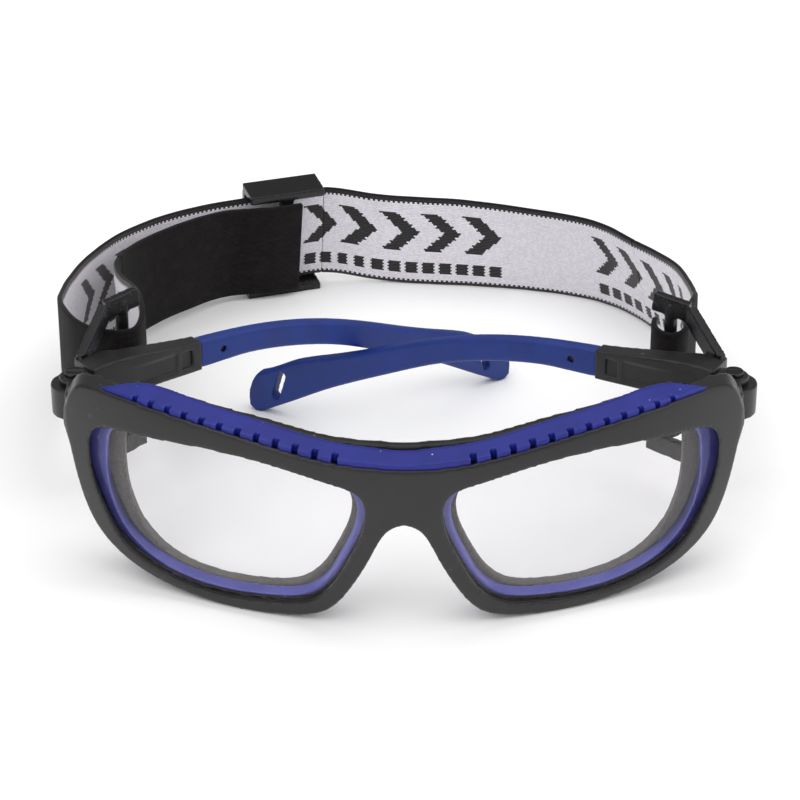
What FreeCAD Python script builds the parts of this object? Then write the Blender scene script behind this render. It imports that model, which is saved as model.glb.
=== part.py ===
import FreeCAD, Part
import math
import os

# Wrap-round safety goggles with a head strap, in millimetres.
# +Z is up, +Y runs from the front towards the wearer, and the wearer's right is -X.
# The origin is on the surface the goggles stand on, below the front of the bridge.

# ---- front: a curved shell, round in plan and in side view ----
wrap_radius = 98.0          # plan radius of the front face
crown_radius = 80.0         # side-view radius of the front face
crown_height = 25.0         # height at which the front face is furthest forward
front_width = 137.8         # across the rims, without the corners
corner_overhang = 0.9       # how far each corner stands out past the rims
rim_depth = 4.4             # front to back of the rims
brow_depth = 8.6            # front to back of the brow
brow_drop = 1.9             # how far the brow's rear ledge hangs below its top edge
corner_depth = 5.19         # rear face of the corners, behind the front face at their outer edge
corner_top = 41.4
corner_bottom = 26.0

# ---- lenses ----
lens_depth = 1.5            # from the front face to the lens
lens_thickness = 2.0
lens_groove = 1.2           # how far the lens edge sits in the rim

# ---- brow bumper ----
bumper_front = 0.7          # depth of its front face
bumper_back = 5.3           # depth of its rear face
bumper_seat = 1.1           # how far it is let into the brow
notch_width = 1.2
notch_pitch = 3.95
notch_count = 14            # on each side
notch_start = 13.5          # plain centre, half
notch_depth = 3.7
groove_width = 1.2          # dark gap behind the bumper
brow_wall_rise = 1.9        # rear wall above the brow's front edge at the bridge

# ---- seal ----
carrier_plate = 1.4
carrier_collar = 1.8
collar_wall = 1.2
foam_thickness = 2.6
carrier_lap = 1.4           # carrier's flange past the eye opening, behind the rim
nose_pad_thickness = 1.6
nose_pad_depth = 3.0

# ---- hinges ----
hinge_inset = 1.3           # hinge axis from the corner's outer face
hinge_setback = 7.6         # hinge axis behind the corner's rear face
lug_radius = 3.2
lug_height = 1.6
lug_top = 37.6
lug_gap = 7.0               # between the two lugs
knuckle_radius = 5.0
knuckle_clearance = 0.2     # above and below the knuckle
screw_radius = 0.9
screw_clearance = 0.06
screw_head_radius = 2.0
screw_head_height = 0.8
screw_slot = 0.5
insert_radius = 1.7
cross_right = 72.56         # where the folded temples cross, from the right hinge
cross_left = 92.53
cross_span = 137.0          # between the hinges that the crossing is set for

# ---- temples, in their own frame: u back from the hinge, v outwards ----
arm_end = 31.0
arm_outer = 2.0
arm_inner = -1.8
arm_clearance = 1.0         # between the arm's front end and the lugs
tip_end = 119.2
tip_outer = 1.7
tip_inner = -1.5
tip_rounding = 0.9
tang_end = 60.0
tang_half_height = 2.0
tang_half_thickness = 0.7
eyelet_radius = 0.75
slot_width = 1.9

# ---- head strap and its fittings ----
strap_width = 25.0
strap_thickness = 1.5
strap_gap = 0.35            # between a strap and what it passes
loop_gap = 0.85             # between a clip's bar and the strap round it
clip_bar_radius = 1.4
clip_bar_u = 19.8
clip_bar_out = 6.7          # bar from the outside of the arm
clip_rise = 5.6             # upper arm above the strap's top edge
clip_arm_width = 4.2
clip_arm_thickness = 2.0
strap_lift = 13.8           # strap's lower edge at the clips
buckle_length = 19.0
buckle_rail = 2.2
buckle_bar = 3.0
buckle_wall = 2.0
buckle_gap = 0.75            # between the buckle and the strap that runs through it
buckle_at = (-31.5, 125.0)  # middle of the buckle, on the strap's middle line, behind the hinges
buckle_heading = 200.0      # direction of the strap there, degrees from +X
buckle_lean = 4.0           # how far the strap's top edge leans inwards there

X, Y, Z = FreeCAD.Vector(1, 0, 0), FreeCAD.Vector(0, 1, 0), FreeCAD.Vector(0, 0, 1)
ORIGIN = FreeCAD.Vector(0, 0, 0)
far = 200.0


def front_y(x):
    """How far back the front face is, at a distance to the side."""
    return wrap_radius - math.sqrt(wrap_radius ** 2 - x ** 2)


# sizes that follow from those above
corner_width = front_width + 2 * corner_overhang
corner_back = front_y(corner_width / 2) + corner_depth
hinge_x = corner_width / 2 - hinge_inset
hinge_y = corner_back + hinge_setback
clip_bar_v = knuckle_radius + clip_bar_out
clip_top = strap_lift + strap_width + clip_rise
clip_bottom = strap_lift - 2 * strap_gap - clip_arm_width / 2
tip_stretch = (tip_end - arm_end) / (119.2 - arm_end)


def fold(near, other):
    """How far a temple is folded in from straight back, so that the two cross at different heights."""
    a, b = (arm_end + (u - arm_end) * tip_stretch for u in (near, other))
    return 90 - math.degrees(math.acos((cross_span ** 2 + a ** 2 - b ** 2) / (2 * cross_span * a)))


fold_right, fold_left = fold(cross_right, cross_left), fold(cross_left, cross_right)


def vec(x, y, z):
    return FreeCAD.Vector(x, y, z)


def mirrored(points):
    """Half an outline, from top centre round to bottom centre, and its mirror image."""
    return points + [(-x, z) for x, z in reversed(points) if x > 0.01]


def grow(points, distance):
    """Move each point of a closed outline outwards along the normal there."""
    count = len(points)
    area = sum(points[i - 1][0] * points[i][1] - points[i][0] * points[i - 1][1] for i in range(count))
    turn = 1 if area > 0 else -1
    moved = []
    for i, (x, z) in enumerate(points):
        before, after = points[i - 1], points[(i + 1) % count]
        dx, dz = after[0] - before[0], after[1] - before[1]
        size = math.hypot(dx, dz)
        moved.append((x + turn * distance * dz / size, z - turn * distance * dx / size))
    return moved


def closed_curve(points, to_vector):
    curve = Part.BSplineCurve()
    curve.interpolate([to_vector(*p) for p in points], PeriodicFlag=True)
    return Part.Face(Part.Wire([curve.toShape()]))


def through(points, y_from=-5.0, y_to=70.0):
    """A closed front-view outline, run straight back through the front."""
    face = closed_curve(points, lambda x, z: vec(x, y_from, z))
    return face.extrude(vec(0, y_to - y_from, 0))


def on_front(angle, z, depth):
    """A point at a plan angle, a height and a depth behind the front face."""
    out = wrap_radius - crown_radius + math.sqrt((crown_radius - depth) ** 2 - (z - crown_height) ** 2)
    return vec(out * math.sin(angle), wrap_radius - out * math.cos(angle), z)


def shell(depth_from, depth_to, low=-8.0, high=50.0):
    """The curved slab between two depths behind the front face."""
    middle = (low + high) / 2

    def arc(depth):
        ends = [on_front(0, z, depth) for z in (low, middle, high)]
        return Part.Arc(*ends).toBSpline().toShape(), ends

    outer, outer_ends = arc(depth_from)
    inner, inner_ends = arc(depth_to)
    wire = Part.Wire([outer, Part.makeLine(outer_ends[2], inner_ends[2]),
                      inner, Part.makeLine(inner_ends[0], outer_ends[0])])
    face = Part.Face(wire)
    axis = vec(0, wrap_radius, 0)
    reach = math.degrees(math.asin(corner_width / 2 / wrap_radius)) + 10.4
    face.rotate(axis, Z, -reach)
    return face.revolve(axis, Z, 2 * reach)


def box(low, high):
    size = [b - a for a, b in zip(low, high)]
    return Part.makeBox(size[0], size[1], size[2], vec(*low))


def both_sides(shape):
    """A shape and its mirror image across the middle plane."""
    return [shape, shape.mirror(ORIGIN, X)]


# ---- outlines in the front view, right half, in front_width's scale ----
half = front_width / 137.8
BROW_EDGE = [(0, 36.9), (14.4, 37.9), (31, 40.8), (48.5, 42.6), (60, 43.0)]
FRAME_SIDE = [(66.4, 41.6), (68.9, 37), (68.5, 29), (66.7, 20.3), (62.4, 10.0), (55.4, 4.3), (45.3, 1.2),
              (33.5, 0.0), (24.5, 0.5), (15.6, 3.0), (11.5, 8.0), (5.9, 19.0), (3.2, 23.5), (0, 24.9)]
EYE = [(63.9, 30.5), (62.3, 34.4), (55.2, 36.1), (43.8, 37.0), (27.9, 36.3), (14.1, 33.2), (8.5, 30.4),
       (7.8, 26), (11.0, 16.5), (14.6, 9.6), (19.2, 5.0), (26, 3.4), (37.5, 2.6), (48.7, 4.4), (57.4, 9.8),
       (61.6, 18)]
COLLAR_INNER = [(59.8, 30), (58.0, 33.8), (50, 35.2), (40, 35.5), (28, 34.6), (15.2, 31.6), (9.9, 29.2),
                (9.2, 25.2), (12.2, 15.8), (15.8, 8.8), (20.2, 4.9), (27, 3.3), (38, 2.7), (48.6, 4.6),
                (56.2, 10.4), (59.4, 18.1)]
FOAM_INNER = [(56.6, 29.4), (55.2, 32.8), (49, 34.2), (40, 34.6), (28.5, 33.7), (16.4, 31.0), (11.0, 28.6),
              (10.3, 24.8), (13.0, 16.2), (16.6, 9.4), (21, 5.2), (27.6, 3.4), (38, 2.7), (47.6, 4.8),
              (53.6, 10.8), (56.2, 18.6)]


def scaled(points):
    return [(x * half, z) for x, z in points]


frame_outline = mirrored(scaled(BROW_EDGE + FRAME_SIDE))
eye_outline = scaled(EYE)
lens_outline = grow(eye_outline, lens_groove)


def brow_height(angle):
    """Height of the brow's front edge at a plan angle."""
    x = abs(wrap_radius * math.sin(angle))
    points = scaled(BROW_EDGE) + [(far, BROW_EDGE[-1][1])]
    for (x0, z0), (x1, z1) in zip(points, points[1:]):
        if x <= x1:
            return z0 + (z1 - z0) * (x - x0) / (x1 - x0)


def strip(section, reach, stations=17):
    """A solid along the brow: section(angle) gives its corners as (depth, height)."""
    wires = []
    for i in range(stations):
        angle = reach * (2 * i / (stations - 1) - 1)
        corners = [on_front(angle, z, depth) for depth, z in section(angle)]
        wires.append(Part.makePolygon(corners + corners[:1]))
    return Part.makeLoft(wires, True, False)


def brow_reach(x):
    return math.asin(x * half / wrap_radius)


def front_frame():
    rims = shell(0, rim_depth).common(through(frame_outline))

    def wall(angle):
        top = brow_height(angle)
        low = top - brow_drop
        rise = brow_wall_rise - 2.2 * abs(angle) / brow_reach(60)
        groove = bumper_back + groove_width
        return [(rim_depth - 1.5, low), (brow_depth, low), (brow_depth, top + rise), (groove, top + rise),
                (groove, top - 0.7), (rim_depth - 1.5, top - 0.7)]

    body = rims.fuse(strip(wall, brow_reach(60.5)))
    block = corner_block()
    for piece in both_sides(block):
        body = body.fuse(piece)
    for lug in hinge_lugs():
        body = body.fuse(lug)
    cuts = []
    for opening in both_sides(through(eye_outline)):
        cuts.append(opening)
    for seat in both_sides(lens_blank()):
        cuts.append(seat)
    cuts.append(bumper_blank())
    for x in (hinge_x, -hinge_x):
        low = lug_top - 2 * lug_height - lug_gap
        cuts.append(Part.makeCylinder(screw_radius, far, vec(x, hinge_y, low - 1)))
        cuts.append(Part.makeCylinder(insert_radius, lug_height, vec(x, hinge_y, low)))
    for cut in cuts:
        body = body.cut(cut)
    return body


def corner_block():
    """The thick corner that carries the hinge, run on from the brow."""
    outer_x = corner_width / 2
    rim_x = front_width / 2 - 2.1
    brow_x = 57 * half
    top = brow_height(brow_reach(57))
    low = top - brow_drop - 2.0
    face = [(brow_x, top - 0.8), (62 * half, 42.6), (outer_x - 5.6, corner_top), (outer_x - 2.0, corner_top - 2.2),
            (outer_x - 0.3, corner_top - 5.4), (outer_x, corner_top - 9), (outer_x - 1.4, corner_bottom + 2.2),
            (rim_x, corner_bottom), (rim_x, low), (brow_x, low)]
    wire = Part.makePolygon([vec(x, 0, z) for x, z in face + face[:1]])
    block = Part.Face(wire).extrude(vec(0, far, 0))
    plan = [(brow_x, 0), (outer_x + 3, 0), (outer_x + 3, corner_back), (hinge_x - lug_radius - 0.4, corner_back),
            (brow_x, front_y(brow_x) + 9.2)]
    return block.common(plan_prism(plan)).common(shell(0.2, 30))


def hinge_lugs():
    """Two lugs on each corner, one above and one below the temple's knuckle."""
    outer_x = corner_width / 2
    lugs = []
    for top in (lug_top, lug_top - lug_height - lug_gap):
        ear = Part.makeCylinder(lug_radius, lug_height, vec(hinge_x, hinge_y, top - lug_height))
        neck = box((hinge_x - lug_radius - 0.4, corner_back - 1.5, top - lug_height),
                   (outer_x - 0.2, hinge_y, top))
        lugs += both_sides(ear.fuse(neck))
    return lugs


def lens_blank():
    return shell(lens_depth, lens_depth + lens_thickness).common(through(lens_outline))


def bumper_taper(angle):
    """1 along the bumper, falling towards its two pointed ends."""
    return 1 - max(0.0, abs(angle) / brow_reach(60) - 0.93) / 0.14


def bumper_section(angle):
    edge = brow_height(angle)
    share = abs(angle) / brow_reach(60)
    low = edge - bumper_seat
    rise = 1.7 + 0.3 * share
    taper = bumper_taper(angle)
    back = bumper_front + (bumper_back - bumper_front) * taper
    return [(bumper_front, low), (back, low), (back, edge + rise * taper),
            (back - 1.0 * taper, edge + rise * taper), (bumper_front, edge + 0.7 * taper)]


def bumper_blank():
    return strip(bumper_section, brow_reach(63), 25)


def brow_bumper():
    blank = bumper_blank()
    notches = []
    for i in range(notch_count):
        angle = (notch_start + i * notch_pitch) * half / wrap_radius * 1.035
        low = brow_height(angle) - bumper_seat - 0.1
        end = bumper_front + (notch_depth - bumper_front) * bumper_taper(angle)
        notch = box((-notch_width / 2, -2, low), (notch_width / 2, end, low + 7))
        notch.rotate(vec(0, wrap_radius, 0), Z, math.degrees(angle))
        notches += both_sides(notch)
    return blank.cut(Part.makeCompound(notches))


def seal_carrier():
    """A flange behind each rim with a collar round the eye, joined across the bridge."""
    collar_inner = scaled(COLLAR_INNER)
    plate_back = rim_depth + carrier_plate
    plate = shell(rim_depth, plate_back)
    carrier = plate.common(box((-10 * half, -5, 28.8), (10 * half, 60, 32.2)))
    for flange in both_sides(through(grow(eye_outline, carrier_lap))):
        carrier = carrier.fuse(plate.common(flange))
    slab = shell(plate_back - 0.4, plate_back + carrier_collar)
    for collar in both_sides(through(grow(collar_inner, collar_wall))):
        carrier = carrier.fuse(slab.common(collar))
    for eye in both_sides(through(collar_inner)):
        carrier = carrier.cut(eye)
    return carrier


def foam_seal():
    """Foam rings on the collars, joined across the bridge."""
    start = rim_depth + carrier_plate + carrier_collar
    slab = shell(start, start + foam_thickness)
    body = slab.common(box((-13 * half, -5, 28.6), (13 * half, 40, 32.4)))
    for ring in both_sides(through(grow(scaled(COLLAR_INNER), collar_wall + 0.9))):
        body = body.fuse(slab.common(ring))
    for eye in both_sides(through(scaled(FOAM_INNER))):
        body = body.cut(eye)
    return body


def nose_pad():
    """A soft saddle that lines the rear of the bridge arch."""
    band = through(grow(frame_outline, -0.2)).cut(through(grow(frame_outline, -0.2 - nose_pad_thickness)))
    slab = shell(rim_depth, rim_depth + nose_pad_depth)
    return slab.common(band).common(box((-12.6 * half, -5, 8.5), (12.6 * half, 40, 30)))


def hinge_screw():
    low = lug_top - 2 * lug_height - lug_gap
    screw = Part.makeCylinder(screw_radius, lug_top - low, vec(0, 0, low))
    head = Part.makeCylinder(screw_head_radius, screw_head_height, vec(0, 0, lug_top))
    slot = box((-5, -screw_slot / 2, lug_top + screw_head_height / 2), (5, screw_slot / 2, far))
    return screw.fuse(head).cut(slot)


def hinge_insert():
    low = lug_top - 2 * lug_height - lug_gap
    ring = Part.makeCylinder(insert_radius, lug_height, vec(0, 0, low))
    return ring.cut(Part.makeCylinder(screw_radius, lug_height, vec(0, 0, low)))


# ---- temples: u is local +Y, v is local +X, the hinge axis is local Z ----
ARM_TOP = [(2, 36.9), (6, 37.8), (12, 38.0), (20, 37.4), (arm_end, 36.3)]
ARM_BOTTOM = [(arm_end, 29.6), (26, 29.6), (20, 29.7), (10, 28.6), (2, 27.4)]
TIP_TOP = [(arm_end, 36.3), (40, 35.6), (50, 34.3), (60, 32.2), (70, 29.2), (80, 25.4), (90, 21.3),
           (100, 17.6), (107, 14.9), (113.2, 12.2), (116.6, 9.9), (118.4, 7.0), (119.2, 3.0)]
TIP_BOTTOM = [(118.9, 1.1), (116.9, 0.0), (113.4, 1.3), (105, 6.1), (100, 9.0), (90, 14.1), (80, 18.8),
              (70, 23.2), (60, 26.4), (50, 28.6), (40, 29.6), (arm_end, 29.8)]


def stretched(points):
    """Tip points, moved back in proportion when the temple is longer or shorter."""
    return [(arm_end + (u - arm_end) * tip_stretch, z) for u, z in points]


def side_slab(top, bottom, v_from, v_to):
    """A side-view outline given as its top and bottom edges, made solid between two v."""
    def edge(points):
        curve = Part.BSplineCurve()
        curve.interpolate([vec(v_from, u, z) for u, z in points])
        return curve.toShape()

    edges = [edge(top)]
    if top[-1] != bottom[0]:
        edges.append(Part.makeLine(vec(v_from, *top[-1]), vec(v_from, *bottom[0])))
    edges.append(edge(bottom))
    if bottom[-1] != top[0]:
        edges.append(Part.makeLine(vec(v_from, *bottom[-1]), vec(v_from, *top[0])))
    return Part.Face(Part.Wire(edges)).extrude(vec(v_to - v_from, 0, 0))


def plan_prism(points, low=-5.0, high=60.0):
    """A plan outline of (v, u) corners, made solid between two heights."""
    wire = Part.makePolygon([vec(v, u, low) for v, u in points + points[:1]])
    return Part.Face(wire).extrude(vec(0, 0, high - low))


def tang():
    middle_start, middle_end = (36.3 + 29.8) / 2, (32.2 + 26.4) / 2
    corners = [(arm_end - 0.5, middle_start + tang_half_height), (45, 34.0), (tang_end, middle_end + 1.4),
               (tang_end, middle_end - 1.4), (45, 30.2), (arm_end - 0.5, middle_start - tang_half_height)]
    wire = Part.makePolygon([vec(-tang_half_thickness, u, z) for u, z in corners + corners[:1]])
    return Part.Face(wire).extrude(vec(2 * tang_half_thickness, 0, 0))


def temple_arm():
    clear = lug_radius + arm_clearance
    outer = knuckle_radius
    plan = plan_prism([(outer, clear), (outer, 9.5), (arm_outer + 1.6, 14.0), (arm_outer + 0.6, 22.0),
                       (arm_outer, arm_end), (arm_inner, arm_end), (arm_inner, 20.0), (-1.2, clear)])
    arm = side_slab(ARM_TOP, ARM_BOTTOM, -8, 12).common(plan)
    knuckle_top = lug_top - lug_height - knuckle_clearance
    knuckle_low = lug_top - lug_height - lug_gap + knuckle_clearance
    knuckle_height = knuckle_top - knuckle_low
    knuckle = Part.makeCylinder(knuckle_radius, knuckle_height, vec(0, 0, knuckle_low))
    web = box((-1.2, 0, knuckle_low), (knuckle_radius, clear + 0.5, knuckle_top))
    arm = arm.fuse(knuckle.fuse(web)).fuse(tang())
    arm = arm.cut(Part.makeCylinder(screw_radius + screw_clearance, far, vec(0, 0, 0)))
    pocket = box((arm_inner - 1, arm_end - 5.2, 31.2), (arm_inner + 0.8, arm_end - 2.4, 35.0))
    panel = box((arm_inner - 1, 9.0, 31.0), (arm_inner + 0.3, arm_end - 6.4, 35.4))
    return arm.cut(pocket).cut(panel)


def rounded_section(u, low, high):
    """A rounded cross-section of the tip, in the plane across the temple at u."""
    r, k = tip_rounding, tip_rounding * (1 - math.sqrt(0.5))
    a, b = tip_inner, tip_outer
    flats = [((a, low + r), (a, high - r)), ((a + r, high), (b - r, high)),
             ((b, high - r), (b, low + r)), ((b - r, low), (a + r, low))]
    middles = [(a + k, high - k), (b - k, high - k), (b - k, low + k), (a + k, low + k)]
    edges = []
    for i, (start, end) in enumerate(flats):
        edges.append(Part.makeLine(vec(start[0], u, start[1]), vec(end[0], u, end[1])))
        after, middle = flats[(i + 1) % 4][0], middles[i]
        edges.append(Part.Arc(vec(end[0], u, end[1]), vec(middle[0], u, middle[1]),
                              vec(after[0], u, after[1])).toShape())
    return Part.Wire(edges)


def height_at(points, u):
    """Height of an edge at u, along straight runs between its points."""
    points = sorted(points)
    for (u0, z0), (u1, z1) in zip(points, points[1:]):
        if u <= u1:
            return z0 + (z1 - z0) * (u - u0) / (u1 - u0)
    return z1 + (z1 - z0) / (u1 - u0) * (u - u1)


def temple_tip():
    top, bottom = stretched(TIP_TOP), stretched(TIP_BOTTOM)
    body_top = [p for p in top if p[0] < tip_end - 6]
    body_bottom = [p for p in bottom if p[0] < tip_end - 8]
    stations = [arm_end] + sorted(u for u, z in body_top[1:]) + [tip_end + 2]
    wires = []
    for u in stations:
        wires.append(rounded_section(u, height_at(body_bottom, u), height_at(body_top, u)))
    tip = Part.makeLoft(wires, True, False)
    tip = tip.common(side_slab(top, bottom, tip_inner - 1, tip_outer + 1))
    tip = tip.cut(tang())
    eyelet = Part.makeCylinder(eyelet_radius, 6, vec(arm_inner - 1, arm_end + 6, 32.6), X)
    slot_high, slot_low = stretched([(110.2, 10.6), (111.9, 5.2)])
    high, low = vec(-5, *slot_high), vec(-5, *slot_low)
    run = low.sub(high)
    bar = box((0, -slot_width / 2, 0), (10, slot_width / 2, run.Length))
    bar.rotate(ORIGIN, X, math.degrees(math.atan2(-run.y, run.z)))
    bar.translate(high)
    slot = bar.fuse(Part.makeCylinder(slot_width / 2, 10, high, X))
    slot = slot.fuse(Part.makeCylinder(slot_width / 2, 10, low, X))
    return tip.cut(eyelet.common(box((-5, 0, 0), (-tang_half_thickness, far, far)))).cut(slot)


def strap_clip():
    """Bracket on the outside of the temple, with an upright bar that the strap goes round."""
    bar = Part.makeCylinder(clip_bar_radius, clip_top - clip_bottom, vec(clip_bar_v, clip_bar_u, clip_bottom))
    start_v = knuckle_radius + clip_arm_thickness / 2
    knee_u = clip_bar_u - clip_bar_radius - strap_thickness - 1.2
    end_u = clip_bar_u + clip_bar_radius + strap_thickness + 1.2
    base_u = lug_radius + arm_clearance + 0.2
    clip = bar
    upper = (vec(start_v, base_u + 1.5, 36.4), vec(clip_bar_v, knee_u, clip_top - 1.0), vec(clip_bar_v, end_u, clip_top))
    lower = (vec(start_v, base_u + 1.5, 29.4), vec(clip_bar_v - 3.5, 9.5, clip_bottom),
             vec(clip_bar_v, end_u, clip_bottom))
    for start, knee, end in (upper, lower):
        clip = clip.fuse(beam(start, knee, clip_arm_width, clip_arm_thickness))
        clip = clip.fuse(beam(knee, end, clip_arm_width, clip_arm_thickness))
    base = box((knuckle_radius, base_u, 28.4), (knuckle_radius + clip_arm_thickness, base_u + 4.6, 37.4))
    return clip.fuse(base).cut(box((-far, -far, -far), (knuckle_radius, far, far)))


def beam(start, end, width, thickness):
    """A flat bar between two points, as wide as given across and standing on edge."""
    run = end.sub(start)
    bar = box((-thickness / 2, 0, -width / 2), (thickness / 2, run.Length, width / 2))
    bar.rotate(ORIGIN, X, math.degrees(math.asin(run.z / run.Length)))
    bar.rotate(ORIGIN, Z, math.degrees(math.atan2(-run.x, run.y)))
    bar.translate(start)
    return bar


def placed(shape, side):
    """Put a temple's piece, modelled straight, on its hinge and fold it in."""
    shape = shape.copy() if side == "left" else shape.mirror(ORIGIN, X)
    angle = fold_left if side == "left" else -fold_right
    shape.rotate(ORIGIN, Z, angle)
    shape.translate(vec(hinge_x if side == "left" else -hinge_x, hinge_y, 0))
    return shape


def bar_place(side):
    """Plan position of a strap clip's bar."""
    sign, fold = (1, fold_left) if side == "left" else (-1, fold_right)
    angle = math.radians(fold)
    x = hinge_x - clip_bar_u * math.sin(angle) + clip_bar_v * math.cos(angle)
    y = hinge_y + clip_bar_u * math.cos(angle) + clip_bar_v * math.sin(angle)
    return sign * x, y


# ---- strap: a band set on edge along a plan path ----
def between(values, share):
    """A value part way along a list, evenly spaced from 0 to 1."""
    place = min(max(share, 0.0), 1.0) * (len(values) - 1)
    i = min(int(place), len(values) - 2)
    return values[i] + (values[i + 1] - values[i]) * (place - i)


def band(run, first, last, stations):
    """Part of a strap from one point of its run to another.

    Each point is x, y, the lower edge's height, and how far the top edge leans to the left of the way."""
    plan = Part.BSplineCurve()
    feet = [vec(x, y, z) for x, y, z, lean in run]
    plan.interpolate(feet)
    start, end = plan.parameter(feet[first]), plan.parameter(feet[last])
    leans = [lean for x, y, z, lean in run[first:last] + [run[last]]]
    wires = []
    for i in range(stations):
        share = i / (stations - 1)
        at = start + (end - start) * share
        foot = plan.value(at)
        heading = plan.tangent(at)[0]
        side = vec(-heading.y, heading.x, 0)
        side.normalize()
        lean = between(leans, share)
        top = side * lean + Z * math.sqrt(strap_width ** 2 - lean ** 2)
        out = side * (strap_thickness / 2)
        corners = [foot.sub(out), foot.add(out), foot.add(out).add(top), foot.sub(out).add(top)]
        wires.append(Part.makePolygon(corners + corners[:1]))
    return Part.makeLoft(wires, True, True)


buckle_dir = vec(math.cos(math.radians(buckle_heading)), math.sin(math.radians(buckle_heading)), 0)
buckle_side = vec(buckle_dir.y, -buckle_dir.x, 0)   # points away from the wearer's head


def behind(points):
    """Strap points, given for hinges 137 apart, moved with the hinges: x, y behind the hinges, height, lean."""
    return [(x * hinge_x / 68.5, hinge_y + y, z, lean) for x, y, z, lean in points]


def near_buckle(along, side):
    """A plan point, measured from the buckle's middle along the strap and inwards."""
    x, y, z, lean = behind([buckle_at + (0, 0)])[0]
    return x + along * buckle_dir.x - side * buckle_side.x, y + along * buckle_dir.y - side * buckle_side.y


inner_offset = strap_thickness + buckle_gap + buckle_bar + strap_gap   # inner layer from the through layer
strap_height = 2.7          # strap's lower edge at the buckle
buckle_tilt = math.asin(buckle_lean / strap_width)


def strap_run():
    """The whole strap: sewn loop at the left clip, round the back, right clip, and back to the buckle."""
    x, y = bar_place("left")
    loop = clip_bar_radius + loop_gap + strap_thickness / 2
    left = [(x - loop + 0.3, y + 5.5), (x - loop, y), (x, y - loop), (x + loop, y - 0.6),
            (x + loop + 0.6, y + 4), (x + 5.6, y + 13)]
    points = [(px, py, strap_lift, 0) for px, py in left]
    points += behind([(65.6, 50, 8.2, 0.3), (67.2, 70, 2.6, 1.5), (66.6, 86, 0.5, 3.4), (61.3, 102, 0.1, 6.4),
                      (52.2, 114.5, 0.1, 6.4), (34.7, 122.9, 0.1, 5.7), (11.7, 126.9, 0.1, 3.4),
                      (-8, 128.9, 0.8, 3.4)])
    points += [near_buckle(along, 0) + (strap_height, buckle_lean) for along in (-11, -4, 4, 11)]
    points += behind([(-57, 112.6, 2.4, 3), (-69.5, 98, 2.4, 2), (-76.4, 75, 3.5, 0.5), (-77, 50, 8, 0)])
    x, y = bar_place("right")
    points += [(x - 13.2, y + 9, 13, 0), (x - 7.4, y - 0.6, strap_lift, 0), (x - 0.6, y - loop, strap_lift, 0),
               (x + 2.3, y - loop + 0.9, strap_lift, 0), (x + 3.6, y + 1.4, strap_lift, 0), (x + 2.6, y + 14, strap_lift, 0)]
    points += behind([(-63.5, 58, 8, 0), (-67.4, 80, 3.6, -0.5), (-63.2, 95.5, 2.4, -2), (-53, 107.8, 2.4, -3)])
    points += [near_buckle(along, inner_offset - drop)
               + (strap_height - inner_offset * math.sin(buckle_tilt), -buckle_lean)
               for along, drop in ((13, 1.5), (5, 0), (-3, 0))]
    return points


LEFT_SPLIT, BUCKLE_SPLIT, TURN_SPLIT = 9, 14, 24        # points of the run where the strap's pieces meet


def strap_side_left():
    return band(strap_run(), 0, LEFT_SPLIT, 44)


def strap_back():
    return band(strap_run(), LEFT_SPLIT, BUCKLE_SPLIT, 26)


def strap_outer_right():
    return band(strap_run(), BUCKLE_SPLIT, TURN_SPLIT, 48)


def strap_inner_right():
    return band(strap_run(), TURN_SPLIT, len(strap_run()) - 1, 48)


def buckle():
    """Three-bar slide: end bars outside the strap, middle bar inside it, rails above and below."""
    half_strap = strap_thickness / 2 + buckle_gap
    inner = half_strap + buckle_bar
    outer = -half_strap - buckle_wall
    low = strap_height - strap_gap - buckle_rail
    height = strap_width + 2 * strap_gap + 2 * buckle_rail
    half_length = buckle_length / 2
    body = box((-half_length, outer, 0), (half_length, inner, height))
    window = box((-far, -half_strap, buckle_rail), (far, far, height - buckle_rail))
    slots = box((-half_length + buckle_bar, outer - 1, buckle_rail),
                (half_length - buckle_bar, half_strap, height - buckle_rail))
    body = body.cut(window).cut(slots)
    middle = box((-buckle_bar / 2, half_strap, 0.5), (buckle_bar / 2, inner, height - 0.5))
    body = body.fuse(middle)
    body.translate(vec(0, 0, low - strap_height))
    body.rotate(ORIGIN, X, -math.degrees(buckle_tilt))
    body.translate(vec(0, 0, strap_height))
    body.rotate(ORIGIN, Z, buckle_heading)
    body.translate(vec(*near_buckle(0, 0), 0))
    return body


def main():
    os.makedirs("parts", exist_ok=True)
    lens = lens_blank()
    screw, insert = hinge_screw(), hinge_insert()
    nodes = {
        "front_frame": front_frame(),
        "brow_bumper": brow_bumper(),
        "seal_carrier": seal_carrier(),
        "foam_seal": foam_seal(),
        "nose_pad": nose_pad(),
        "lens_left": lens,
        "lens_right": lens.mirror(ORIGIN, X),
        "strap_back": strap_back(),
        "strap_side_left": strap_side_left(),
        "strap_outer_right": strap_outer_right(),
        "strap_inner_right": strap_inner_right(),
        "buckle": buckle(),
    }
    for side, x in (("left", hinge_x), ("right", -hinge_x)):
        nodes["hinge_screw_" + side] = screw.translated(vec(x, hinge_y, 0))
        nodes["hinge_insert_" + side] = insert.translated(vec(x, hinge_y, 0))
        nodes["temple_arm_" + side] = placed(temple_arm(), side)
        nodes["temple_tip_" + side] = placed(temple_tip(), side)
        nodes["strap_clip_" + side] = placed(strap_clip(), side)
    for name, shape in nodes.items():
        shape.exportStep("parts/" + name + ".step")
        print(name, len(shape.Solids), shape.isValid(), round(shape.Volume, 1))


main()
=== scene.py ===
import math

import bmesh
import bpy
import numpy as np
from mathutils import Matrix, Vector, noise


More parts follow.
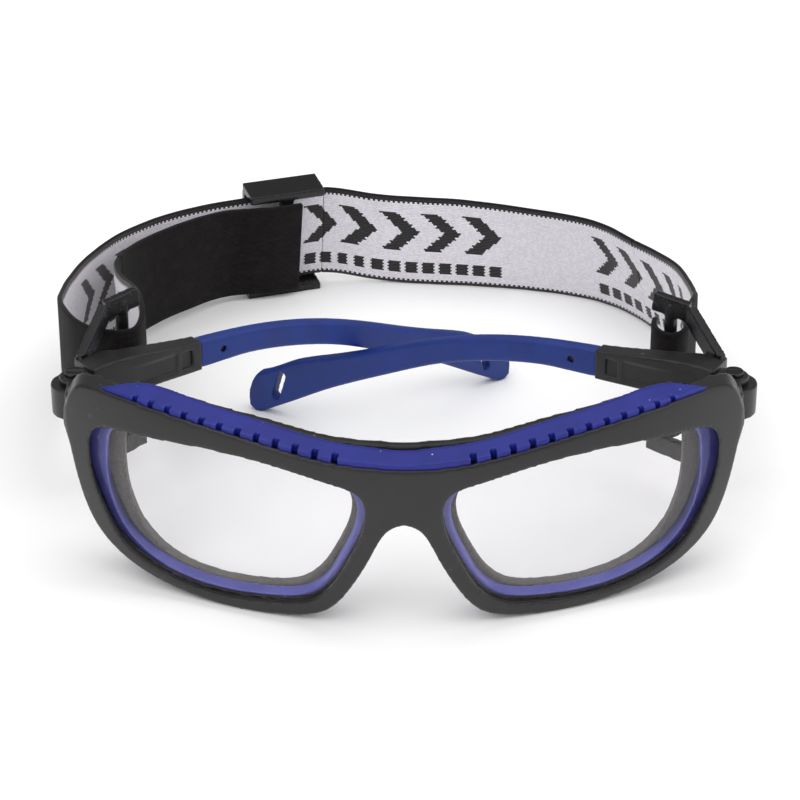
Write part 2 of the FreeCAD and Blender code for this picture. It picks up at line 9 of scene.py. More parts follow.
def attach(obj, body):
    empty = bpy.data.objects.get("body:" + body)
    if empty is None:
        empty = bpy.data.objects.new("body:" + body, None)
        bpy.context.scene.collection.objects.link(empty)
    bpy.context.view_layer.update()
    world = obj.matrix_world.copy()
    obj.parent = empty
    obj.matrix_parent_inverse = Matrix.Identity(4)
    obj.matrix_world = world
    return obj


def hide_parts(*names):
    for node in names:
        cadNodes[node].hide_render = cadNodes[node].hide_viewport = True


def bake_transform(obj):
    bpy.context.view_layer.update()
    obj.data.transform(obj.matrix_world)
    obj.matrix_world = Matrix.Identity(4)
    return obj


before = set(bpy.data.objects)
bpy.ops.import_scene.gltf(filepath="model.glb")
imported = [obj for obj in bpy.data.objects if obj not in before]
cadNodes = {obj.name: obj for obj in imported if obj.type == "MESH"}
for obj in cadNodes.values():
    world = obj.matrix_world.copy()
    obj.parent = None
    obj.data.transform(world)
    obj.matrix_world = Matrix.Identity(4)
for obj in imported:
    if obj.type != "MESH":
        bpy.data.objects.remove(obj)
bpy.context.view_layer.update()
mm = 0.001
print("frame loaded:", len(cadNodes), "nodes")


# helpers for pieces
def addPiece(name, mesh):
    piece = bpy.data.objects.new(name, mesh)
    bpy.context.scene.collection.objects.link(piece)
    return piece


def applyModifiers(piece):
    graph = bpy.context.evaluated_depsgraph_get()
    graph.update()
    done = bpy.data.meshes.new_from_object(piece.evaluated_get(graph))
    done.name = piece.name
    piece.modifiers.clear()
    piece.data = done
    return piece


def shadeSmooth(piece):
    piece.data.polygons.foreach_set("use_smooth", [True] * len(piece.data.polygons))
    piece.data.update()


def softCopy(node, name, voxel, rounds):  # a CAD node with the softened edges of a moulding
    bm = bmesh.new()
    bm.from_mesh(cadNodes[node].data)
    bmesh.ops.remove_doubles(bm, verts=bm.verts, dist=0.002 * mm)
    mesh = bpy.data.meshes.new(name)
    bm.to_mesh(mesh)
    bm.free()
    piece = addPiece(name, mesh)
    remesh = piece.modifiers.new("soften", "REMESH")
    remesh.mode = "VOXEL"
    remesh.voxel_size = voxel * mm
    smooth = piece.modifiers.new("round", "SMOOTH")
    smooth.factor = 0.5
    smooth.iterations = rounds
    applyModifiers(piece)
    shadeSmooth(piece)
    print(name, 2 * len(piece.data.polygons), "triangles")
    return piece


def settle(piece, body, node):  # body is a name, or what a blend needs
    if isinstance(body, str):
        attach(piece, body)
    else:
        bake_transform(piece)
    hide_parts(node)


def finishPiece(piece, body, material, node):
    piece.data.materials.clear()
    piece.data.materials.append(material)
    settle(piece, body, node)


# helpers for materials
def srgb(red, green, blue):
    def linear(c):
        c /= 255
        return c / 12.92 if c <= 0.04045 else ((c + 0.055) / 1.055) ** 2.4
    return (linear(red), linear(green), linear(blue), 1)


def addNode(tree, kind, **values):
    node = tree.nodes.new("ShaderNode" + kind)
    for name, value in values.items():
        socket = node.inputs[name.replace("_", " ")]
        if isinstance(value, bpy.types.NodeSocket):
            tree.links.new(value, socket)
        else:
            socket.default_value = value
    return node


def calc(tree, operation, *values, clamp=False):
    node = tree.nodes.new("ShaderNodeMath")
    node.operation = operation
    node.use_clamp = clamp
    for socket, value in zip(node.inputs, values):
        if isinstance(value, bpy.types.NodeSocket):
            tree.links.new(value, socket)
        else:
            socket.default_value = value
    return node.outputs[0]


def mixColors(tree, factor, first, second):
    node = tree.nodes.new("ShaderNodeMix")
    node.data_type = "RGBA"
    for socket, value in zip((node.inputs[0], node.inputs[6], node.inputs[7]), (factor, first, second)):
        if isinstance(value, bpy.types.NodeSocket):
            tree.links.new(value, socket)
        else:
            socket.default_value = value
    return node.outputs[2]


def ramp(tree, value, low, high):
    node = addNode(tree, "MapRange", Value=value, From_Min=low, From_Max=high)
    return node.outputs[0]


def newGroup(name, inputs, outputs):
    tree = bpy.data.node_groups.new(name, "ShaderNodeTree")
    for label, kind, value in inputs:
        socket = tree.interface.new_socket(name=label, in_out="INPUT", socket_type="NodeSocket" + kind)
        if value is not None:
            socket.default_value = value
    for label, kind in outputs:
        tree.interface.new_socket(name=label, in_out="OUTPUT", socket_type="NodeSocket" + kind)
    given = tree.nodes.new("NodeGroupInput").outputs
    result = tree.nodes.new("NodeGroupOutput").inputs
    return tree, given, result


def useGroup(tree, group, **values):
    node = tree.nodes.new("ShaderNodeGroup")
    node.node_tree = group
    for name, value in values.items():
        socket = node.inputs[name.replace("_", " ")]
        if isinstance(value, bpy.types.NodeSocket):
            tree.links.new(value, socket)
        else:
            socket.default_value = value
    return node.outputs


def newMaterial(name):
    material = bpy.data.materials.new(name)
    material.use_nodes = True
    tree = material.node_tree
    return material, tree, tree.nodes["Principled BSDF"]


def addBump(tree, shader, height, strength, distance):
    bump = addNode(tree, "Bump", Height=height, Strength=strength, Distance=distance * mm)
    tree.links.new(bump.outputs[0], shader.inputs["Normal"])


# shared effects
def makeGrain():  # fine moulded grain, with cloudy changes of gloss
    tree, given, result = newGroup(
        "moulded grain",
        [("Vector", "Vector", None), ("Size", "Float", 0.3), ("Roughness", "Float", 0.4), ("Spread", "Float", 0.1)],
        [("Roughness", "Float"), ("Height", "Float"), ("Cloud", "Float")])
    scale = calc(tree, "DIVIDE", 1000.0, given["Size"])
    fine = addNode(tree, "TexNoise", Vector=given["Vector"], Scale=scale, Detail=2.0, Roughness=0.55)
    cloud = addNode(tree, "TexNoise", Vector=given["Vector"], Scale=160.0, Detail=3.0, Roughness=0.5)
    centred = calc(tree, "SUBTRACT", cloud.outputs[0], 0.5)
    grainy = calc(tree, "SUBTRACT", fine.outputs[0], 0.5)
    both = calc(tree, "MULTIPLY_ADD", grainy, 0.6, centred)
    rough = calc(tree, "MULTIPLY_ADD", both, given["Spread"], given["Roughness"], clamp=True)
    tree.links.new(rough, result["Roughness"])
    tree.links.new(fine.outputs[0], result["Height"])
    tree.links.new(cloud.outputs[0], result["Cloud"])
    return tree


def makePaintedEdgeHighlight():  # painted highlight: edges that stand out are made lighter, in broken patches
    tree, given, result = newGroup(
        "painted edge highlight",
        [("Vector", "Vector", None), ("Color", "Color", (0.1, 0.1, 0.1, 1)), ("Worn", "Color", (0.3, 0.3, 0.3, 1)),
         ("Amount", "Float", 0.5)],
        [("Color", "Color"), ("Mask", "Float")])
    point = tree.nodes.new("ShaderNodeNewGeometry").outputs["Pointiness"]
    edge = ramp(tree, point, 0.51, 0.60)
    patches = addNode(tree, "TexNoise", Vector=given["Vector"], Scale=420.0, Detail=4.0, Roughness=0.6)
    broken = ramp(tree, patches.outputs[0], 0.32, 0.62)
    mask = calc(tree, "MULTIPLY", calc(tree, "MULTIPLY", edge, broken), given["Amount"], clamp=True)
    tree.links.new(mixColors(tree, mask, given["Color"], given["Worn"]), result["Color"])
    tree.links.new(mask, result["Mask"])
    return tree


def makeDust():  # a few pale specks on faces that look up
    tree, given, result = newGroup(
        "dust",
        [("Vector", "Vector", None), ("Color", "Color", (0.1, 0.1, 0.1, 1)), ("Amount", "Float", 0.5)],
        [("Color", "Color"), ("Mask", "Float")])
    specks = addNode(tree, "TexVoronoi", Vector=given["Vector"], Scale=520.0)
    size = addNode(tree, "TexNoise", Vector=given["Vector"], Scale=260.0, Detail=1.0)
    reach = calc(tree, "MULTIPLY", ramp(tree, size.outputs[0], 0.55, 0.8), 0.22)
    near = calc(tree, "LESS_THAN", specks.outputs["Distance"], reach)
    normal = addNode(tree, "SeparateXYZ", Vector=tree.nodes.new("ShaderNodeNewGeometry").outputs["Normal"])
    upward = ramp(tree, normal.outputs[2], 0.1, 0.9)
    mask = calc(tree, "MULTIPLY", calc(tree, "MULTIPLY", near, upward), given["Amount"], clamp=True)
    tree.links.new(mixColors(tree, mask, given["Color"], srgb(205, 203, 205)), result["Color"])
    tree.links.new(mask, result["Mask"])
    return tree


def makeKnit():  # rows of small loops, half a loop out from row to row; Vector is along and across, in metres
    tree, given, result = newGroup(
        "knit",
        [("Vector", "Vector", None), ("Loop", "Float", 0.6), ("Row", "Float", 0.45), ("Rib", "Float", 0.3)],
        [("Height", "Float"), ("GapShade", "Float"), ("Cell", "Vector"), ("Fleck", "Float")])
    part = addNode(tree, "SeparateXYZ", Vector=given["Vector"])
    rows = calc(tree, "DIVIDE", calc(tree, "MULTIPLY", part.outputs[1], 1000.0), given["Row"])
    row = calc(tree, "FLOOR", rows)
    loops = calc(tree, "DIVIDE", calc(tree, "MULTIPLY", part.outputs[0], 1000.0), given["Loop"])
    loops = calc(tree, "MULTIPLY_ADD", calc(tree, "MODULO", row, 2.0), 0.5, loops)
    loop = calc(tree, "FLOOR", loops)
    up = calc(tree, "ABSOLUTE", calc(tree, "MULTIPLY_ADD", calc(tree, "SUBTRACT", rows, row), 2.0, -1.0))
    over = calc(tree, "ABSOLUTE", calc(tree, "MULTIPLY_ADD", calc(tree, "SUBTRACT", loops, loop), 2.0, -1.0))
    rise = calc(tree, "SUBTRACT", 1.0, calc(tree, "POWER", up, 2.4))
    crown = calc(tree, "SUBTRACT", 1.0, calc(tree, "MULTIPLY", calc(tree, "POWER", over, 3.0), 0.55))
    fuzz = addNode(tree, "TexNoise", Vector=given["Vector"], Scale=2600.0, Detail=2.0)
    height = calc(tree, "MULTIPLY_ADD", fuzz.outputs[0], 0.35, calc(tree, "MULTIPLY", rise, crown))
    cell = addNode(tree, "CombineXYZ", X=calc(tree, "MULTIPLY", calc(tree, "MULTIPLY", loop, given["Loop"]), mm),
                   Y=calc(tree, "MULTIPLY", calc(tree, "MULTIPLY", calc(tree, "ADD", row, 0.5), given["Row"]), mm))
    fleck = addNode(tree, "TexWhiteNoise", Vector=cell.outputs[0])
    tree.links.new(height, result["Height"])
    # the gap mask marks where painted shade darkens the gaps between loops
    tree.links.new(calc(tree, "MAXIMUM", calc(tree, "POWER", up, 3.0), calc(tree, "POWER", over, 8.0)), result["GapShade"])
    tree.links.new(cell.outputs[0], result["Cell"])
    tree.links.new(fleck.outputs[0], result["Fleck"])
    return tree


grain, paintedEdgeHighlight, dust, knit = makeGrain(), makePaintedEdgeHighlight(), makeDust(), makeKnit()


def mouldedMaterial(name, recipe):
    material, tree, shader = newMaterial(name)
    place = tree.nodes.new("ShaderNodeTexCoord").outputs["Object"]
    grainy = useGroup(tree, grain, Vector=place, Size=recipe["grain"], Roughness=recipe["roughness"],
                      Spread=recipe["spread"])
    color = mixColors(tree, ramp(tree, grainy["Cloud"], 0.3, 0.7), recipe["dark"], recipe["light"])
    # painted highlight: edges that stand out are lightened toward the recipe's edge colour
    wearAndLitEdge = useGroup(tree, paintedEdgeHighlight, Vector=place, Color=color, Worn=recipe["wearAndLitEdge"], Amount=recipe["litEdgeAmount"])
    dusty = useGroup(tree, dust, Vector=place, Color=wearAndLitEdge["Color"], Amount=recipe["dust"])
    tree.links.new(dusty["Color"], shader.inputs["Base Color"])
    tree.links.new(grainy["Roughness"], shader.inputs["Roughness"])
    shader.inputs["IOR"].default_value = 1.48
    addBump(tree, shader, grainy["Height"], recipe["bump"], 0.02)
    return material


# dark and light are a random cloudy tone; the edge colour and its amount paint a highlight on edges that stand out
plastics = {
    "frame": {"dark": srgb(27, 25, 26), "light": srgb(33, 31, 32), "wearAndLitEdge": srgb(66, 62, 63), "litEdgeAmount": 0.5,
              "roughness": 0.36, "spread": 0.12, "grain": 0.22, "bump": 0.35, "dust": 0.15},
    "bumper": {"dark": srgb(16, 26, 116), "light": srgb(22, 32, 128), "wearAndLitEdge": srgb(66, 74, 176), "litEdgeAmount": 0.6,
               "roughness": 0.42, "spread": 0.12, "grain": 0.2, "bump": 0.3, "dust": 0.7},
    "tips": {"dark": srgb(4, 38, 112), "light": srgb(8, 44, 124), "wearAndLitEdge": srgb(32, 72, 152), "litEdgeAmount": 0.35,
             "roughness": 0.5, "spread": 0.1, "grain": 0.26, "bump": 0.3, "dust": 0.1},
    "clips": {"dark": srgb(13, 12, 14), "light": srgb(18, 17, 19), "wearAndLitEdge": srgb(52, 50, 52), "litEdgeAmount": 0.6,
              "roughness": 0.28, "spread": 0.14, "grain": 0.3, "bump": 0.3, "dust": 0.2},
    "carrier": {"dark": srgb(84, 85, 162), "light": srgb(98, 99, 176), "wearAndLitEdge": srgb(140, 142, 206), "litEdgeAmount": 0.4,
                "roughness": 0.34, "spread": 0.1, "grain": 0.3, "bump": 0.2, "dust": 0.1},
    "pads": {"dark": srgb(26, 25, 27), "light": srgb(33, 32, 34), "wearAndLitEdge": srgb(56, 54, 56), "litEdgeAmount": 0.3,
             "roughness": 0.55, "spread": 0.1, "grain": 0.25, "bump": 0.35, "dust": 0.1},
}
framePlastic = mouldedMaterial("satin charcoal plastic", plastics["frame"])
bumperPlastic = mouldedMaterial("blue violet plastic", plastics["bumper"])
tipRubber = mouldedMaterial("blue tip rubber", plastics["tips"])
clipPlastic = mouldedMaterial("black clip plastic", plastics["clips"])
carrierPlastic = mouldedMaterial("violet carrier plastic", plastics["carrier"])
padRubber = mouldedMaterial("dark pad rubber", plastics["pads"])


def makeFoam():
    material, tree, shader = newMaterial("grey seal foam")
    place = tree.nodes.new("ShaderNodeTexCoord").outputs["Object"]
    cells = addNode(tree, "TexVoronoi", Vector=place, Scale=2200.0)
    pores = ramp(tree, cells.outputs["Distance"], 0.1, 0.55)
    mottled = addNode(tree, "TexNoise", Vector=place, Scale=300.0, Detail=3.0)
    color = mixColors(tree, mottled.outputs[0], srgb(82, 78, 75), srgb(106, 102, 98))
    # painted shade: the pore hollows are darkened (the same mask drives the bump)
    tree.links.new(mixColors(tree, pores, srgb(50, 48, 46), color), shader.inputs["Base Color"])
    shader.inputs["Roughness"].default_value = 0.92
    shader.inputs["Sheen Weight"].default_value = 0.15
    addBump(tree, shader, pores, 0.7, 0.08)
    return material


def makeMetal(name, color, roughness):
    material, tree, shader = newMaterial(name)
    place = tree.nodes.new("ShaderNodeTexCoord").outputs["Object"]
    grainy = useGroup(tree, grain, Vector=place, Size=0.12, Roughness=roughness, Spread=0.2)
    # painted highlight: edges that stand out on the screw and insert are lightened toward pale steel
    wearAndLitEdge = useGroup(tree, paintedEdgeHighlight, Vector=place, Color=color, Worn=srgb(150, 146, 142), Amount=0.5)
    tree.links.new(wearAndLitEdge["Color"], shader.inputs["Base Color"])
    tree.links.new(grainy["Roughness"], shader.inputs["Roughness"])
    shader.inputs["Metallic"].default_value = 1.0
    addBump(tree, shader, grainy["Height"], 0.3, 0.01)
    return material


def makeLens():
    material, tree, shader = newMaterial("clear lens")
    place = tree.nodes.new("ShaderNodeTexCoord").outputs["Object"]
    smears = addNode(tree, "TexNoise", Vector=place, Scale=90.0, Detail=3.0, Roughness=0.6)
    rough = calc(tree, "MULTIPLY", ramp(tree, smears.outputs[0], 0.45, 0.8), 0.03)
    tree.links.new(rough, shader.inputs["Roughness"])
    tint = mixColors(tree, smears.outputs[0], srgb(244, 242, 244), srgb(250, 249, 250))
    tree.links.new(tint, shader.inputs["Base Color"])
    shader.inputs["Transmission Weight"].default_value = 1.0
    shader.inputs["IOR"].default_value = 1.3
    clear = addNode(tree, "BsdfTransparent", Color=(0.97, 0.97, 0.975, 1))
    path = tree.nodes.new("ShaderNodeLightPath")
    blend = tree.nodes.new("ShaderNodeMixShader")
    passing = calc(tree, "MAXIMUM", path.outputs["Is Shadow Ray"], path.outputs["Is Diffuse Ray"])
    tree.links.new(passing, blend.inputs[0])
    tree.links.new(shader.outputs[0], blend.inputs[1])
    tree.links.new(clear.outputs[0], blend.inputs[2])
    tree.links.new(blend.outputs[0], tree.nodes["Material Output"].inputs[0])
    return material


sealFoam = makeFoam()
screwSteel = makeMetal("screw steel", srgb(70, 68, 68), 0.35)
insertBrass = makeMetal("insert brass", srgb(186, 150, 84), 0.3)
lensClear = makeLens()
print("materials made")


# strap: route of its lower edge, and how far its top edge leans to the left of the way
hinge = {"x": 68.5, "y": 42.0, "foldLeft": 60.5, "foldRight": 51.1}
strap = {"width": 25.0, "thickness": 1.3, "lift": 13.8, "loop": 3.0, "barU": 19.8, "barV": 11.7,
         "step": 0.8, "acrossCells": 14, "ripple": 0.12}
buckle = {"x": -31.5, "y": 167.0, "heading": 200.0, "height": 2.7, "lean": 4.0, "innerOffset": 5.6}


def onTemple(side, v, u, z):  # a point given for a straight temple, once it is folded in
    sign, fold = (1, hinge["foldLeft"]) if side == "left" else (-1, hinge["foldRight"])
    a = math.radians(fold)
    return Vector((sign * (hinge["x"] + v * math.cos(a) - u * math.sin(a)),
                   hinge["y"] + u * math.cos(a) + v * math.sin(a), z))


def nearBuckle(along, side):
    a = math.radians(buckle["heading"])
    return (buckle["x"] + along * math.cos(a) - side * math.sin(a),
            buckle["y"] + along * math.sin(a) + side * math.cos(a))


def strapRoute():
    x, y, z = onTemple("left", strap["barV"], strap["barU"], strap["lift"])
    loop = strap["loop"]
    route = [(x - loop + 0.3, y + 5.5, z, 0), (x - loop, y, z, 0), (x, y - loop, z, 0), (x + loop, y - 0.6, z, 0),
             (x + loop + 0.6, y + 4, z, 0), (x + 5.6, y + 13, z, 0)]
    route += [(65.6, 92, 8.2, 0.3), (67.2, 112, 2.6, 1.5), (66.6, 128, 0.5, 3.4), (61.3, 144, 0.1, 6.4),
              (52.2, 156.5, 0.1, 6.4), (34.7, 164.9, 0.1, 5.7), (11.7, 168.9, 0.1, 3.4), (-8, 170.9, 0.8, 3.4)]
    route += [nearBuckle(along, 0) + (buckle["height"], buckle["lean"]) for along in (-11, -4, 4, 11)]
    route += [(-57, 154.6, 2.4, 3), (-69.5, 140, 2.4, 2), (-76.4, 117, 3.5, 0.5), (-77, 92, 8, 0)]
    x, y, z = onTemple("right", strap["barV"], strap["barU"], strap["lift"])
    route += [(x - 13.2, y + 9, 13, 0), (x - 7.4, y - 0.6, z, 0), (x - 0.6, y - loop, z, 0),
              (x + 2.3, y - loop + 0.9, z, 0), (x + 3.6, y + 1.4, z, 0), (x + 2.6, y + 14, z, 0)]
    route += [(-63.5, 100, 8, 0), (-67.4, 122, 3.6, -0.5), (-63.2, 137.5, 2.4, -2), (-53, 149.8, 2.4, -3)]
    low = buckle["height"] - buckle["innerOffset"] * buckle["lean"] / strap["width"]
    route += [nearBuckle(along, buckle["innerOffset"] - drop) + (low, -buckle["lean"])
              for along, drop in ((13, 1.5), (5, 0), (-3, 0))]
    return route


def splineThrough(points):  # a smooth curve through the points, by distance
    points = np.array(points, float)
    gaps = np.linalg.norm(np.diff(points[:, :3], axis=0), axis=1)
    at = np.concatenate([[0], np.cumsum(gaps)])
    count = len(at)
    system, known = np.eye(count), np.zeros_like(points)
    for i in range(1, count - 1):
        system[i, i - 1:i + 2] = gaps[i - 1], 2 * (gaps[i - 1] + gaps[i]), gaps[i]
        known[i] = 6 * ((points[i + 1] - points[i]) / gaps[i] - (points[i] - points[i - 1]) / gaps[i - 1])
    bend = np.linalg.solve(system, known)

    def place(distance):
        i = int(min(max(np.searchsorted(at, distance) - 1, 0), count - 2))
        a, b, h = at[i + 1] - distance, distance - at[i], gaps[i]
        value = ((bend[i] * a ** 3 + bend[i + 1] * b ** 3) / (6 * h) + (points[i] / h - bend[i] * h / 6) * a
                 + (points[i + 1] / h - bend[i + 1] * h / 6) * b)
        slope = ((bend[i + 1] * b ** 2 - bend[i] * a ** 2) / (2 * h) + (points[i + 1] - points[i]) / h
                 - (bend[i + 1] - bend[i]) * h / 6)
        return value, slope
    return place, at


route = strapRoute()
onRoute, routeMarks = splineThrough(route)
print("strap length", round(float(routeMarks[-1])), "mm")


def strapPoint(distance, across):  # across runs from 0 at the lower edge to 1 at the top
    (x, y, z, lean), (dx, dy, dz, dl) = onRoute(distance)
    size = math.hypot(dx, dy)
    side = Vector((-dy / size, dx / size, 0))
    top = side * lean + Vector((0, 0, math.sqrt(strap["width"] ** 2 - lean ** 2)))
    edge = abs(2 * across - 1) ** 3
    wave = noise.noise(Vector((distance * 0.16, across * 1.5, 3.7))) * strap["ripple"] * (0.4 + edge)
    return (Vector((x, y, z)) + top * across + side * wave) * mm, side


def makeBand(name, first, last):
    length = last - first
    cells = max(4, int(length / strap["step"]))
    bm = bmesh.new()
    bmesh.ops.create_grid(bm, x_segments=cells, y_segments=strap["acrossCells"], size=0.5)
    cloth = bm.loops.layers.uv.new("cloth")
    spots = {}
    for vert in bm.verts:
        along, across = first + (vert.co.x + 0.5) * length, vert.co.y + 0.5
        spots[vert] = (along * mm, across * strap["width"] * mm)
        vert.co = strapPoint(along, across)[0]
    for face in bm.faces:
        for corner in face.loops:
            corner[cloth].uv = spots[corner.vert]
    bmesh.ops.recalc_face_normals(bm, faces=bm.faces)
    sample = next(iter(bm.faces))
    sample.normal_update()
    facing = strapPoint(spots[sample.verts[0]][0] / mm, 0.5)[1]
    if sample.normal.dot(facing) < 0:  # the white face looks to the left of the way
        bmesh.ops.reverse_faces(bm, faces=bm.faces)
    mesh = bpy.data.meshes.new(name)
    bm.to_mesh(mesh)
    bm.free()
    piece = addPiece(name, mesh)
    for material in strapMaterials:
        piece.data.materials.append(material)
    wall = piece.modifiers.new("thickness", "SOLIDIFY")
    wall.thickness = strap["thickness"] * mm
    wall.offset = 0
    wall.use_even_offset = True
    wall.material_offset = 1
    wall.material_offset_rim = 2
    edge = piece.modifiers.new("soft edge", "BEVEL")
    edge.width = 0.4 * mm
    edge.segments = 3
    edge.profile = 0.5
    edge.limit_method = "ANGLE"
    edge.angle_limit = math.radians(50)
    applyModifiers(piece)
    shadeSmooth(piece)
    return piece


motif = {"period": 78.0, "group": 53.0, "pitch": 10.6, "stroke": 4.4, "low": 9.6, "high": 20.6,
         "dashLow": 3.4, "dashHigh": 6.4, "dash": 4.4, "dashShare": 0.68, "loop": 0.62, "row": 0.46}


def makeWhiteWeave(motifStart):
    material, tree, shader = newMaterial("white woven elastic")
    place = addNode(tree, "UVMap")
    place.uv_map = "cloth"
    woven = useGroup(tree, knit, Vector=place.outputs[0], Loop=motif["loop"], Row=motif["row"])
    cell = addNode(tree, "SeparateXYZ", Vector=woven["Cell"])
    along = calc(tree, "MULTIPLY", cell.outputs[0], 1000.0)
    across = calc(tree, "MULTIPLY", cell.outputs[1], 1000.0)
    inPeriod = calc(tree, "FLOORED_MODULO", calc(tree, "SUBTRACT", along, motifStart), motif["period"])
    inGroup = calc(tree, "LESS_THAN", inPeriod, motif["group"])
    middle = (motif["low"] + motif["high"]) / 2
    slant = calc(tree, "ABSOLUTE", calc(tree, "SUBTRACT", across, middle))
    inPitch = calc(tree, "FLOORED_MODULO", calc(tree, "SUBTRACT", inPeriod, slant), motif["pitch"])
    stroke = calc(tree, "LESS_THAN", inPitch, motif["stroke"])
    tall = calc(tree, "LESS_THAN", slant, (motif["high"] - motif["low"]) / 2)
    chevrons = calc(tree, "MULTIPLY", stroke, tall)
    dashAt = calc(tree, "FLOORED_MODULO", inPeriod, motif["dash"])
    dashes = calc(tree, "LESS_THAN", dashAt, motif["dash"] * motif["dashShare"])
    dashMiddle = (motif["dashLow"] + motif["dashHigh"]) / 2
    short = calc(tree, "LESS_THAN", calc(tree, "ABSOLUTE", calc(tree, "SUBTRACT", across, dashMiddle)),
                 (motif["dashHigh"] - motif["dashLow"]) / 2)
    marks = calc(tree, "MAXIMUM", chevrons, calc(tree, "MULTIPLY", dashes, short))
    marks = calc(tree, "MULTIPLY", marks, inGroup)
    teeth = calc(tree, "MULTIPLY", calc(tree, "PINGPONG", along, 0.62), 0.8)
    fromEdge = calc(tree, "SUBTRACT", strap["width"] / 2,
                    calc(tree, "ABSOLUTE", calc(tree, "SUBTRACT", across, strap["width"] / 2)))
    selvedge = calc(tree, "LESS_THAN", fromEdge, calc(tree, "ADD", teeth, 0.9))
    dark = calc(tree, "MAXIMUM", marks, selvedge)
    pale = mixColors(tree, woven["Fleck"], srgb(224, 219, 227), srgb(240, 237, 242))
    # painted shade: the gaps between loops are darkened toward grey-violet
    pale = mixColors(tree, calc(tree, "MULTIPLY", woven["GapShade"], 0.45), pale, srgb(150, 144, 158))
    black = mixColors(tree, woven["Fleck"], srgb(14, 12, 15), srgb(26, 23, 26))
    tree.links.new(mixColors(tree, dark, pale, black), shader.inputs["Base Color"])
    shader.inputs["Roughness"].default_value = 0.85
    shader.inputs["Sheen Weight"].default_value = 0.25
    shader.inputs["Sheen Roughness"].default_value = 0.5
    addBump(tree, shader, woven["Height"], 0.8, 0.14)
    return material


def makeBlackWeave():
    material, tree, shader = newMaterial("black woven elastic")
    place = addNode(tree, "UVMap")
    place.uv_map = "cloth"
    woven = useGroup(tree, knit, Vector=place.outputs[0], Loop=0.85, Row=0.36)
    wearAndLitEdge = addNode(tree, "TexNoise", Vector=place.outputs[0], Scale=240.0, Detail=4.0)
    color = mixColors(tree, woven["Fleck"], srgb(12, 10, 11), srgb(25, 20, 21))
    # painted shade: the gaps between loops are darkened toward near-black
    color = mixColors(tree, calc(tree, "MULTIPLY", woven["GapShade"], 0.6), color, srgb(5, 4, 5))
    color = mixColors(tree, calc(tree, "MULTIPLY", ramp(tree, wearAndLitEdge.outputs[0], 0.5, 0.8), 0.4), color, srgb(42, 35, 35))
    tree.links.new(color, shader.inputs["Base Color"])
    shader.inputs["Roughness"].default_value = 0.88
    shader.inputs["Specular IOR Level"].default_value = 0.15
    shader.inputs["Sheen Weight"].default_value = 0.05
    addBump(tree, shader, woven["Height"], 0.8, 0.12)
    return material


def makeBlackEdge():
    material, tree, shader = newMaterial("black strap edge")
    place = tree.nodes.new("ShaderNodeTexCoord").outputs["Object"]
    threads = addNode(tree, "TexNoise", Vector=place, Scale=1500.0, Detail=3.0)
    tree.links.new(mixColors(tree, threads.outputs[0], srgb(9, 8, 9), srgb(30, 26, 28)), shader.inputs["Base Color"])
    shader.inputs["Roughness"].default_value = 0.9
    shader.inputs["Specular IOR Level"].default_value = 0.15
    shader.inputs["Sheen Weight"].default_value = 0.05
    addBump(tree, shader, threads.outputs[0], 0.7, 0.15)
    return material


samples = np.arange(0, routeMarks[-1], 0.5)
backRun = [d for d in samples if onRoute(d)[0][1] > 155]
motifStart = min(backRun, key=lambda d: abs(onRoute(d)[0][0] - 25.3))
whiteWeave, blackWeave, blackEdge = makeWhiteWeave(float(motifStart)), makeBlackWeave(), makeBlackEdge()
strapMaterials = [whiteWeave, blackWeave, blackEdge]


def strapPiece(name, first, last, body, node):
    settle(makeBand(name, first, last), body, node)


marks = [float(m) for m in routeMarks]
leftBlend = ("front", "temple_left", (0.0665, 0.140, 0.015), (0.062, 0.074, 0.015))
outerBlend = ("front", "temple_right", (-0.0700, 0.138, 0.015), (-0.072, 0.078, 0.015))
innerBlend = ("front", "temple_right", (-0.0660, 0.117, 0.015), (-0.060, 0.078, 0.015))
buckleBlend = ("front", "buckle", (-0.0640, 0.136, 0.015), (-0.046, 0.158, 0.015))
strapPiece("strapSideLeft", 0, marks[9], leftBlend, "strap_side_left")
strapPiece("strapBack", marks[9], marks[14], "front", "strap_back")
strapPiece("strapOuterRight", marks[14], marks[24], outerBlend, "strap_outer_right")
strapPiece("strapInnerRight", marks[24], marks[29], innerBlend, "strap_inner_right")
strapPiece("strapInnerEnd", marks[29], marks[-1], buckleBlend, "strap_inner_right")
print("strap made")

# rigid pieces: node, piece, body, slot, material, voxel in mm, rounds of smoothing
moulded = [
    ("front_frame", "frontFrame", "front", "frame_plastic", framePlastic, 0.36, 9),
    ("brow_bumper", "browBumper", "front", "brow_plastic", bumperPlastic, 0.2, 4),
    ("seal_carrier", "sealCarrier", "front", "carrier_plastic", carrierPlastic, 0.32, 5),
    ("foam_seal", "foamSeal", "front", "foam", sealFoam, 0.45, 5),
    ("nose_pad", "nosePad", "front", "pad_rubber", padRubber, 0.3, 3),
    ("buckle", "buckleSlide", "buckle", "clip_plastic", clipPlastic, 0.3, 4)]
for side in ("left", "right"):
    moulded += [(node + "_" + side, name + side.capitalize(), body, slot, material, voxel, rounds)
                for node, name, body, slot, material, voxel, rounds in (
        ("temple_arm", "templeArm", "temple_" + side, "frame_plastic", framePlastic, 0.25, 4),
        ("temple_tip", "templeTip", "temple_" + side, "tip_rubber", tipRubber, 0.3, 3),
        ("strap_clip", "strapClip", "temple_" + side, "clip_plastic", clipPlastic, 0.25, 5),
        ("hinge_screw", "hingeScrew", "front", "screw_steel", screwSteel, 0.12, 2),
        ("hinge_insert", "hingeInsert", "front", "insert_brass", insertBrass, 0.15, 2),
        ("lens", "lens", "front", "lens_clear", lensClear, 0.36, 6))]
for node, name, body, slot, material, voxel, rounds in moulded:
    piece = softCopy(node, name, voxel, rounds)
    finishPiece(piece, body, material, node)
print("rigid pieces made")


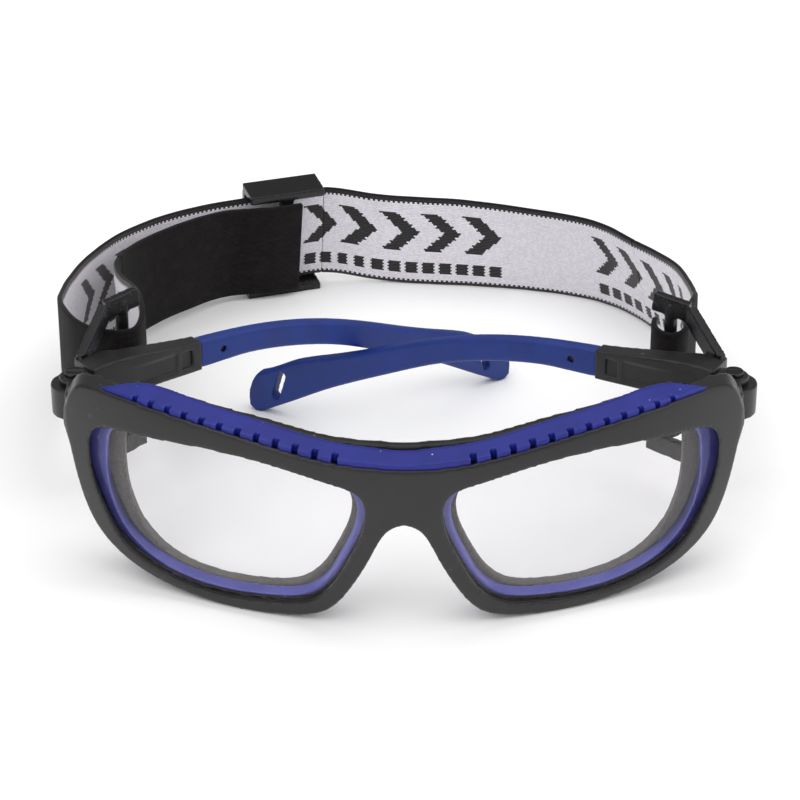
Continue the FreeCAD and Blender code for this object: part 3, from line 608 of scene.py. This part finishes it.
# studio
studio = {"floorSize": 6.0, "floor": (0.93, 0.93, 0.93, 1), "aim": (0, 0.06, 0.02),
          "fill": 0.85, "lessInGloss": -0.6, "moreInView": 0.2}
lamps = [("topLight", 4.0, 1.4, (0.0, 0.05, 0.9)),  # name, power, size, place
         ("frontLight", 3.0, 0.9, (-0.5, -0.7, 0.7)),
         ("rightLight", 2.0, 0.8, (0.8, -0.1, 0.5))]
camera = {"lens": 123.9, "sensor": 36, "shift": -0.005, "place": (0, -0.4700, 0.2924), "down": 27}


def makeFloor():
    bm = bmesh.new()
    bmesh.ops.create_grid(bm, x_segments=1, y_segments=1, size=studio["floorSize"])
    mesh = bpy.data.meshes.new("floor")
    bm.to_mesh(mesh)
    bm.free()
    floor = addPiece("floor", mesh)
    material, tree, shader = newMaterial("white floor")
    shader.inputs["Base Color"].default_value = studio["floor"]
    shader.inputs["Roughness"].default_value = 0.9
    shader.inputs["Specular IOR Level"].default_value = 0.1
    mesh.materials.append(material)


def makeLight():
    world = bpy.data.worlds.new("studio")
    bpy.context.scene.world = world
    world.use_nodes = True
    tree = world.node_tree
    background = tree.nodes["Background"]
    path = tree.nodes.new("ShaderNodeLightPath")
    fill = calc(tree, "MULTIPLY_ADD", path.outputs["Is Glossy Ray"], studio["lessInGloss"], studio["fill"])
    strength = calc(tree, "MULTIPLY_ADD", path.outputs["Is Camera Ray"], studio["moreInView"], fill)
    tree.links.new(strength, background.inputs["Strength"])
    background.inputs["Color"].default_value = (1, 1, 1, 1)
    for name, power, size, place in lamps:
        light = bpy.data.lights.new(name, "AREA")
        light.energy = power
        light.size = size
        lamp = bpy.data.objects.new(name, light)
        lamp.location = place
        lamp.rotation_euler = (Vector(studio["aim"]) - Vector(place)).to_track_quat("-Z", "Y").to_euler()
        bpy.context.scene.collection.objects.link(lamp)


def makeCamera():
    data = bpy.data.cameras.new("camera")
    data.lens = camera["lens"]
    data.sensor_width = camera["sensor"]
    data.shift_x = camera["shift"]
    data.clip_start, data.clip_end = 0.05, 20
    viewer = bpy.data.objects.new("camera", data)
    viewer.location = camera["place"]
    viewer.rotation_euler = (math.radians(90 - camera["down"]), 0, 0)
    bpy.context.scene.collection.objects.link(viewer)
    bpy.context.scene.camera = viewer


makeFloor()
makeLight()
makeCamera()
view = bpy.context.scene.view_settings
view.view_transform = "Standard"
view.look = "None"
print("studio ready")
